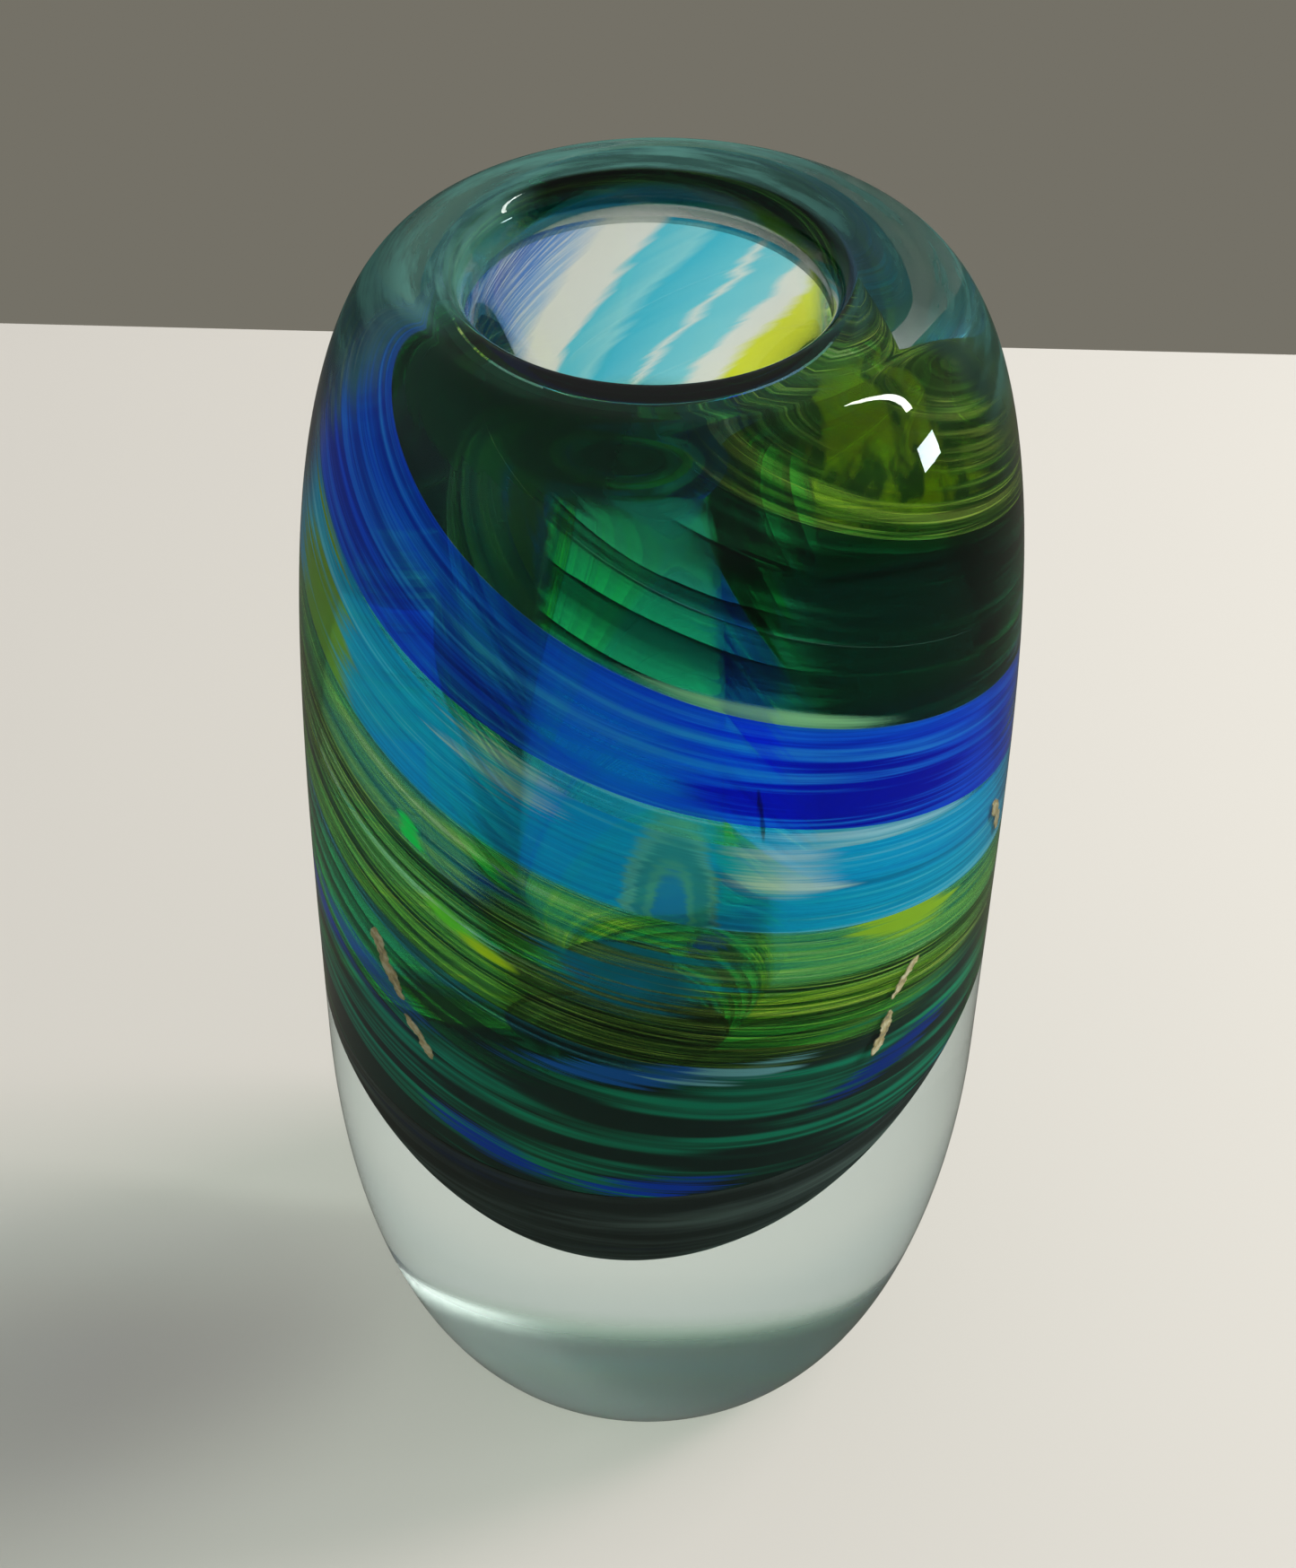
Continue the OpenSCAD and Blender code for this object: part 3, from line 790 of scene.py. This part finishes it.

# painted refraction: the end of the hollow as it shows through the front, arches one inside the other, cut
# off by the next strip
paintedNoseArch = [
    patch(bearing, 108, reach, tint, glow, 0.35, lean=0, power=2.4, rag=1.2, soft=soft, share=share)
    for bearing, reach, tint, glow, soft, share in (
        (7.0, (10.0, 19.5), (0.40, 0.74, 0.24), (0.26, 0.56, 0.18), 0.35, 0.5),
        (7.4, (8.0, 17.0), (0.02, 0.40, 0.50), (0.01, 0.32, 0.42), 0.4, 0.75),
        (7.0, (5.4, 13.5), (0.25, 0.72, 0.50), (0.16, 0.56, 0.42), 0.4, 0.5),
        (7.2, (4.0, 11.0), (0.01, 0.36, 0.85), (0.0, 0.30, 0.85), 0.5, 0.8))]


def paleWisps(colour, milk):
    return patch(-26, 130, (13, 4), colour, colour, milk, rag=7.0, soft=1.6, share=0.8)


turquoiseLook = dict(
    streakLook, node="turquoise_ribbon", width=68.0, body=(0.004, 0.48, 0.84), glow=(0.0, 0.42, 0.90),
    milk=(0.40, 0.58), lineShare=0.3, lineTint=(0.01, 0.25, 0.35),
    stops=[(0.38, 0.002, 0.28, 0.62), (0.47, 0.003, 0.46, 0.90),
           (0.55, 0.01, 0.62, 0.97), (0.64, 0.50, 0.92, 0.98)],
    patches=[
        patch(-78, 135, (16, 11), (0.34, 0.58, 0.08), (0.34, 0.56, 0.06), 0.4),
        patch(30, 117, (15, 6.5), (0.84, 0.95, 0.95), (0.84, 0.93, 0.94), 0.7, rag=3.2, soft=1.3),
        paleWisps((0.70, 0.90, 0.94), 0.4)] + paintedNoseArch)
cobaltLook = dict(
    streakLook, node="cobalt_ribbon", width=68.0, body=(0.004, 0.09, 0.90), glow=(0.004, 0.08, 1.0),
    milk=(0.30, 0.52),
    stops=[(0.36, 0.002, 0.024, 0.60), (0.47, 0.002, 0.07, 0.92),
           (0.55, 0.004, 0.17, 0.98), (0.66, 0.05, 0.48, 0.98)],
    patches=[
        patch(-5, 136, (18, 10), (0.003, 0.42, 0.99), (0.0, 0.28, 1.0), 0.2, soft=1.4, share=0.8),
        patch(44, 124, (34, 8), (0.002, 0.012, 0.62), (0.002, 0.012, 0.7), 0.25)])

ribbons = {
    "emeraldRibbon": emeraldLook, "bottleGreenRibbon": bottleLook, "mossRibbon": mossLook,
    "oliveRibbon": oliveLook, "limeRibbon": limeLook, "turquoiseRibbon": turquoiseLook,
    "cobaltRibbon": cobaltLook,
}
ribbonLooks = list(ribbons.values())
edge = swirl["start"]
for look in ribbonLooks:
    look["edges"] = (edge, edge + look["width"])
    edge += look["width"]

streakPieces = {
    # each lies on the low edge of the ribbon with that number; width and ends in degrees
    "mintStreak": {"node": "mint_streak", "edge": 0, "width": 16.0, "from": -520.0, "to": -395.0},
    "skyStreak": {"node": "sky_streak", "edge": 2, "width": 13.0, "from": -420.0, "to": -255.0},
    "opalWisp": {"node": "opal_wisp", "edge": 6, "width": 15.0, "from": -250.0, "to": -95.0},
}


def streakSwell(piece, turn):
    # half of the width times the sine of the share of its length
    share = np.clip((turn - piece["from"]) / (piece["to"] - piece["from"]), 0, 1)
    return piece["width"] / 2 * np.sin(np.pi * share)


def edgeSwell(index, turn):
    # how far a ribbon's edge stands back for the streak that lies on it
    swell = np.zeros_like(turn)
    for piece in streakPieces.values():
        if piece["edge"] == index % len(ribbons):
            swell = np.maximum(swell, streakSwell(piece, turn))
    return swell


def swirlHeight(turn):
    # the climb per turn grows with height, so height is an exponential of the turn, counted from the rim
    pitch = swirl["pitchTop"] * np.exp(turn * swirl["growth"] / 360)
    return swirl["top"] - (swirl["pitchTop"] - pitch) / swirl["growth"]


def glassSheet(name, turns, lows, highs, material):
    # two skins a glass thickness apart: angle runs across from low to high, turn runs along
    steps = max(2, int(np.ceil(np.max(highs - lows) / swirl["stepDegrees"])))
    angle = lows[:, None] + (highs - lows)[:, None] * np.linspace(0, 1, steps + 1)
    turn = np.repeat(turns[:, None], steps + 1, 1)
    z = swirlHeight(turn)
    around = np.radians(angle - turn)
    skins = [roundAxis(colourRadiusAt(z, inset), around, z, form["coreX"]) for inset in colourSkins]
    uv = np.stack([angle / 360, turn / 360], -1).reshape(-1, 2)
    faces = sheetFaces(len(turns), steps + 1)
    faceMaterials = np.ones(len(faces), np.int32)
    faceMaterials[:(len(turns) - 1) * steps] = 0
    faceMaterials[-2 * steps:] = 0   # the cut ends show the colour too
    return makePiece(name, np.vstack(skins), faces.tolist(), faceMaterials, [material, fusedGlass],
                     np.vstack([uv, uv]))


gapAngle = math.degrees(form["sheetGap"] / form["colourRadius"])
stationCount = int(swirl["turnDegrees"] / swirl["stepDegrees"])
stations = np.linspace(-swirl["turnDegrees"], 0, stationCount + 1)

for index, (name, look) in enumerate(ribbons.items()):
    highNeighbour = ribbonLooks[(index + 1) % len(ribbons)]
    material = swirlGlass(name + "Glass", look, ribbonLooks[index - 1], highNeighbour)
    lowAngle, highAngle = look["edges"]
    lows = lowAngle + edgeSwell(index, stations) + gapAngle / 2
    highs = highAngle - edgeSwell(index + 1, stations) - gapAngle / 2
    ribbon = glassSheet(name, stations, lows, highs, material)
    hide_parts(look["node"])
print("ribbons done:", len(ribbons))


# Streaks laid along the edges of the ribbons

mintLook = dict(
    streakLook, body=(0.30, 0.75, 0.50), glow=(0.30, 0.75, 0.50),
    stops=[(0.30, 0.05, 0.35, 0.20), (0.48, 0.25, 0.70, 0.45),
           (0.62, 0.60, 0.92, 0.75), (0.75, 0.9, 0.98, 0.94)])
skyLook = dict(
    streakLook, body=(0.02, 0.20, 0.24), glow=(0.04, 0.30, 0.36),
    stops=[(0.42, 0.01, 0.07, 0.05), (0.50, 0.02, 0.20, 0.24),
           (0.57, 0.15, 0.55, 0.70), (0.66, 0.70, 0.90, 0.95)])
opalLook = dict(
    streakLook, body=(0.03, 0.56, 0.72), glow=(0.02, 0.52, 0.74), milk=(0.12, 0.32),
    stops=[(0.36, 0.008, 0.34, 0.48), (0.48, 0.03, 0.56, 0.72),
           (0.58, 0.20, 0.76, 0.86), (0.67, 0.85, 0.95, 0.96)],
    patches=[
        paleWisps((0.80, 0.93, 0.95), 0.45),
        patch(50, 115, (32, 4.0), (0.66, 0.89, 0.96), (0.66, 0.89, 0.96), 0.55,
              rag=4.0, soft=1.3)] + paintedNoseArch)

for (name, piece), look in zip(streakPieces.items(), (mintLook, skyLook, opalLook)):
    material = swirlGlass(name + "Glass", look, look, look)
    centre = ribbonLooks[piece["edge"]]["edges"][0]
    turns = stations[streakSwell(piece, stations) > gapAngle]
    swell = streakSwell(piece, turns) - gapAngle / 2
    streak = glassSheet(name, turns, centre - swell, centre + swell, material)
    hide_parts(piece["node"])
print("streaks done:", len(streakPieces))


# Dark cup over the nose of the bubble

cupShape = {"sides": 144, "noseSteps": 44, "wallSteps": 2}
cupLook = {
    "dark": (0.030, 0.042, 0.041), "smoke": (0.13, 0.18, 0.17), "smokeSpan": (0.38, 0.7),
    "blue": (0.02, 0.04, 0.12), "blueScale": 0.6, "blueSpan": (0.55, 0.75),
    "stretch": (22.0, 22.0, 240.0), "haze": 0.5,
}


def cupGlass(name, look):
    material, tree = newMaterial(name)
    flat = addNode("Mapping", {"Vector": objectCoords(tree), "Scale": look["stretch"]}).outputs[0]
    smoke = noiseNode(flat, 1.0, detail=4.0, roughness=0.6, distortion=0.3)
    blue = noiseNode(flat, look["blueScale"])
    tint = mixColour(rangeNode(smoke, *look["smokeSpan"]), look["dark"], look["smoke"])
    tint = mixColour(rangeNode(blue, *look["blueSpan"]), tint, look["blue"])
    setSurface(mixShaders(look["haze"], colourShader("Transparent", tint), colourShader("Diffuse", tint)))
    return material


def makeCup():
    # up the outer skin and back down the inner one
    top = form["colourFloor"] + form["cupRise"]
    steps = cupShape["noseSteps"], cupShape["wallSteps"]
    outer, inner = (colourProfile(inset, top, *steps) for inset in colourSkins)
    rings = np.vstack([asRings(outer, form["coreX"], 0), asRings(inner[::-1], form["coreX"], 1)])
    return turnedSolid("noseCup", rings, cupShape["sides"], [cupGlass("noseCupGlass", cupLook), fusedGlass])


noseCup = makeCup()
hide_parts("nose_cup")
print("nose cup done")


# Flakes of leaf under the outer gather

leafShape = {
    "along": 60, "across": 12, "thick": 0.4, "skins": (0.75, 0.3), "slimness": 0.24,
    "tipPower": 4, "tipLeast": 0.03, "crumple": 0.06, "folds": (9, 3, 5),
    "fullness": 0.85, "nicks": ((0.20, 13), (0.13, 29), (0.09, 61)), "bends": ((0.22, 6), (0.12, 17)),
    # bearing, share of the vase's height, length and lean of each flake
    "spots": [(-54, 0.508, 10, 26), (-45.5, 0.455, 6.5, 38), (60, 0.502, 6, -40), (55, 0.458, 7, -18),
              (93, 0.5625, 8, 22)],
}
leafLook = {
    "stops": [(0.30, 0.22, 0.19, 0.13), (0.46, 0.46, 0.34, 0.16), (0.60, 0.62, 0.52, 0.34)],
    "colourScale": 900.0, "creaseScale": 2200.0, "creases": (0.3, 0.7), "rough": (0.35, 0.6),
    "creaseStrength": 0.5, "creaseDepth": 0.0003, "metal": 0.35,
}


def leafMaterial(name, look):
    material, tree = newMaterial(name)
    coords = objectCoords(tree)
    crease = noiseNode(coords, look["creaseScale"])
    cloud = noiseNode(coords, look["colourScale"], detail=4.0)
    metal = addNode("BsdfPrincipled", {
        "Base Color": rampNode(cloud, look["stops"]), "Metallic": look["metal"],
        "Roughness": rangeNode(crease, *look["creases"], *look["rough"]),
        "Normal": bumpNode(crease, look["creaseStrength"], look["creaseDepth"])})
    setSurface(metal.outputs[0])
    return material


def waves(t, sizes, phases):
    # the sum of sines along the flake, each with its own size, count and phase
    return sum(size * np.sin(count * t + phase) for (size, count), phase in zip(sizes, phases))


def flakeSkin(spot):
    # along runs tip to tip, across from side to side; the half width swells and nicks, two skins a leaf apart
    angle, heightShare, length, lean = spot
    height = heightShare * form["height"]
    t = np.linspace(0, 1, leafShape["along"])[:, None]
    s = np.linspace(-1, 1, leafShape["across"])[None, :]
    half = length * leafShape["slimness"] / 2
    nicks = leafShape["fullness"] + waves(t, leafShape["nicks"], (angle, height + s, 2 * angle - s))
    taper = np.clip(1 - np.abs(2 * t - 1) ** leafShape["tipPower"], leafShape["tipLeast"], 1)
    outline = half * np.sqrt(taper) * nicks
    x = np.clip(s * outline + half * waves(t, leafShape["bends"], (height, angle)), -half, half)
    y = (t - 0.5) * length * np.ones_like(s)
    lengthwise, sideways, cross = leafShape["folds"]
    crumple = leafShape["crumple"] * np.sin(lengthwise * t + sideways * s + angle) * np.cos(cross * s)
    lean, turn = math.radians(lean), math.radians(angle)
    along = x * math.cos(lean) - y * math.sin(lean)
    up = x * math.sin(lean) + y * math.cos(lean)
    base = float(colourRadiusAt(height, 0)) + form["fitGap"]
    skins = []
    for share in leafShape["skins"]:
        out = base + leafShape["thick"] * share + crumple
        skins.append(np.stack([
            form["coreX"] + out * math.sin(turn) + along * math.cos(turn),
            -out * math.cos(turn) + along * math.sin(turn),
            height + up], -1).reshape(-1, 3))
    return np.vstack(skins)


def makeFlakes():
    # all flakes share one pattern of faces, counted on from flake to flake
    skins = [flakeSkin(spot) for spot in leafShape["spots"]]
    faces = sheetFaces(leafShape["along"], leafShape["across"])
    allFaces = np.vstack([faces + n * len(skins[0]) for n in range(len(skins))])
    return makePiece("leafFlakes", np.vstack(skins), allFaces.tolist(), np.zeros(len(allFaces)),
                     [leafMaterial("goldLeaf", leafLook)], sharpDegrees=60)


leafFlakes = makeFlakes()
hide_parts("leaf_flakes")
print("leaf done")


# Stage: pale floor, grey surroundings, soft lamps

stage = {
    "floorLow": -0.0002, "floorFar": 0.262, "floorNear": -1.6, "floorHalf": 1.5,
    "floorColour": (0.68, 0.65, 0.60), "floorShade": (0.64, 0.615, 0.575),
    "floorScale": 3.0, "floorRough": 0.75,
    "worldLow": (0.175, 0.165, 0.135), "worldHigh": (0.43, 0.435, 0.43), "horizon": (-0.15, 0.15),
    "worldStrength": 1.0,
    "mirrored": 0.5,          # the share of the surroundings that the glass mirrors
}


def makeFloor():
    material, tree = newMaterial("paleFloor")
    mottle = noiseNode(objectCoords(tree), stage["floorScale"])
    colour = mixColour(mottle, stage["floorColour"], stage["floorShade"])
    matte = addNode("BsdfPrincipled", {"Base Color": colour, "Roughness": stage["floorRough"]})
    setSurface(matte.outputs[0])
    half, near, far, low = (stage[key] for key in ("floorHalf", "floorNear", "floorFar", "floorLow"))
    corners = [(-half, near, low), (half, near, low), (half, far, low), (-half, far, low)]
    mesh = bpy.data.meshes.new("floor")
    mesh.from_pydata(corners, [], [(0, 1, 2, 3)])
    mesh.materials.append(material)
    floor = bpy.data.objects.new("floor", mesh)
    scene.collection.objects.link(floor)
    floor.visible_glossy = False   # the front of the vase mirrors the dark surroundings, not the floor


def makeWorld():
    # dark below the horizon and light above it; mirror rays that have not gone through glass see less of it
    world = bpy.data.worlds.new("softSurroundings")
    world.use_nodes = True
    tree = world.node_tree
    tree.nodes.clear()
    coords = addNode("TexCoord", {}, tree).outputs["Generated"]
    up = addNode("SeparateXYZ", {0: coords}).outputs["Z"]
    colour = mixColour(rangeNode(up, *stage["horizon"]), stage["worldLow"], stage["worldHigh"])
    path = addNode("LightPath", {}, tree).outputs
    mirror = times(path["Is Glossy Ray"], minus(1.0, path["Is Transmission Ray"]))
    strength = stage["worldStrength"]
    dimmed = timesPlus(mirror, strength * (stage["mirrored"] - 1), strength)
    light = addNode("Background", {"Color": colour, "Strength": dimmed})
    addNode("OutputWorld", {"Surface": light.outputs[0]})
    scene.world = world


lamps = {
    # the key gives the soft shadow and stays out of reflections; the small ones give the highlights
    "key": {"at": (2.38, 0.72, 1.5), "side": (0, 1, 0), "size": (0.85, 0.85), "watts": 62.0,
            "colour": (1.0, 0.97, 0.93), "mirrored": False},
    "strip": {"at": (0.70, 0.198, 0.787), "side": (0.479, -0.212, -0.446), "size": (0.66, 0.05), "watts": 5.0,
              "colour": (1.0, 0.99, 0.95), "mirrored": True},
    "pane": {"at": (1.02, 0.04, 0.20), "side": (0, 1, 0), "size": (0.15, 0.16), "watts": 2.4,
             "colour": (0.78, 0.92, 1.0), "mirrored": True},
}


def makeLamps():
    # each lamp faces the middle of the vase, its long side along the given direction
    target = Vector((0, 0, form["height"] / 2 * mm))
    for name, lamp in lamps.items():
        light = bpy.data.lights.new(name, "AREA")
        light.shape = "RECTANGLE"
        light.size, light.size_y = lamp["size"]
        light.energy = lamp["watts"]
        light.color = lamp["colour"]
        holder = bpy.data.objects.new(name, light)
        away = (Vector(lamp["at"]) - target).normalized()
        side = Vector(lamp["side"])
        side = (side - away * side.dot(away)).normalized()
        turn = Matrix((side, away.cross(side), away)).transposed().to_4x4()
        holder.matrix_world = Matrix.Translation(lamp["at"]) @ turn
        holder.visible_glossy = holder.visible_transmission = lamp["mirrored"]
        scene.collection.objects.link(holder)


makeFloor()
makeWorld()
makeLamps()
print("stage done")


# Camera as the photograph was taken: close, looking down over the rim

camera = {
    "at": (0.0, -0.2597, 0.3329), "pitch": 41.97, "yaw": -0.23, "roll": 1.27,
    "focalPixels": 2991.0, "frameHeight": 1748.0, "sensor": 36.0, "nearest": 0.01,
}


def makeCamera():
    pitch, yaw, roll = (math.radians(camera[key]) for key in ("pitch", "yaw", "roll"))
    forward = Vector((math.sin(yaw) * math.cos(pitch), math.cos(yaw) * math.cos(pitch), -math.sin(pitch)))
    right = forward.cross(Vector((0, 0, 1))).normalized()
    up = right.cross(forward)
    rolledRight = right * math.cos(roll) + up * math.sin(roll)
    rolledUp = up * math.cos(roll) - right * math.sin(roll)
    turn = Matrix((rolledRight, rolledUp, -forward)).transposed().to_4x4()
    data = bpy.data.cameras.new("camera")
    data.sensor_width = camera["sensor"]
    data.lens = camera["focalPixels"] / camera["frameHeight"] * camera["sensor"]
    data.clip_start = camera["nearest"]
    holder = bpy.data.objects.new("camera", data)
    holder.matrix_world = Matrix.Translation(camera["at"]) @ turn
    scene.collection.objects.link(holder)
    scene.camera = holder


makeCamera()
scene.view_settings.view_transform = "Standard"
scene.cycles.transparent_max_bounces = 48
scene.cycles.transmission_bounces = 24
scene.cycles.max_bounces = 32
scene.cycles.caustics_refractive = False
scene.cycles.caustics_reflective = False
print("camera done")
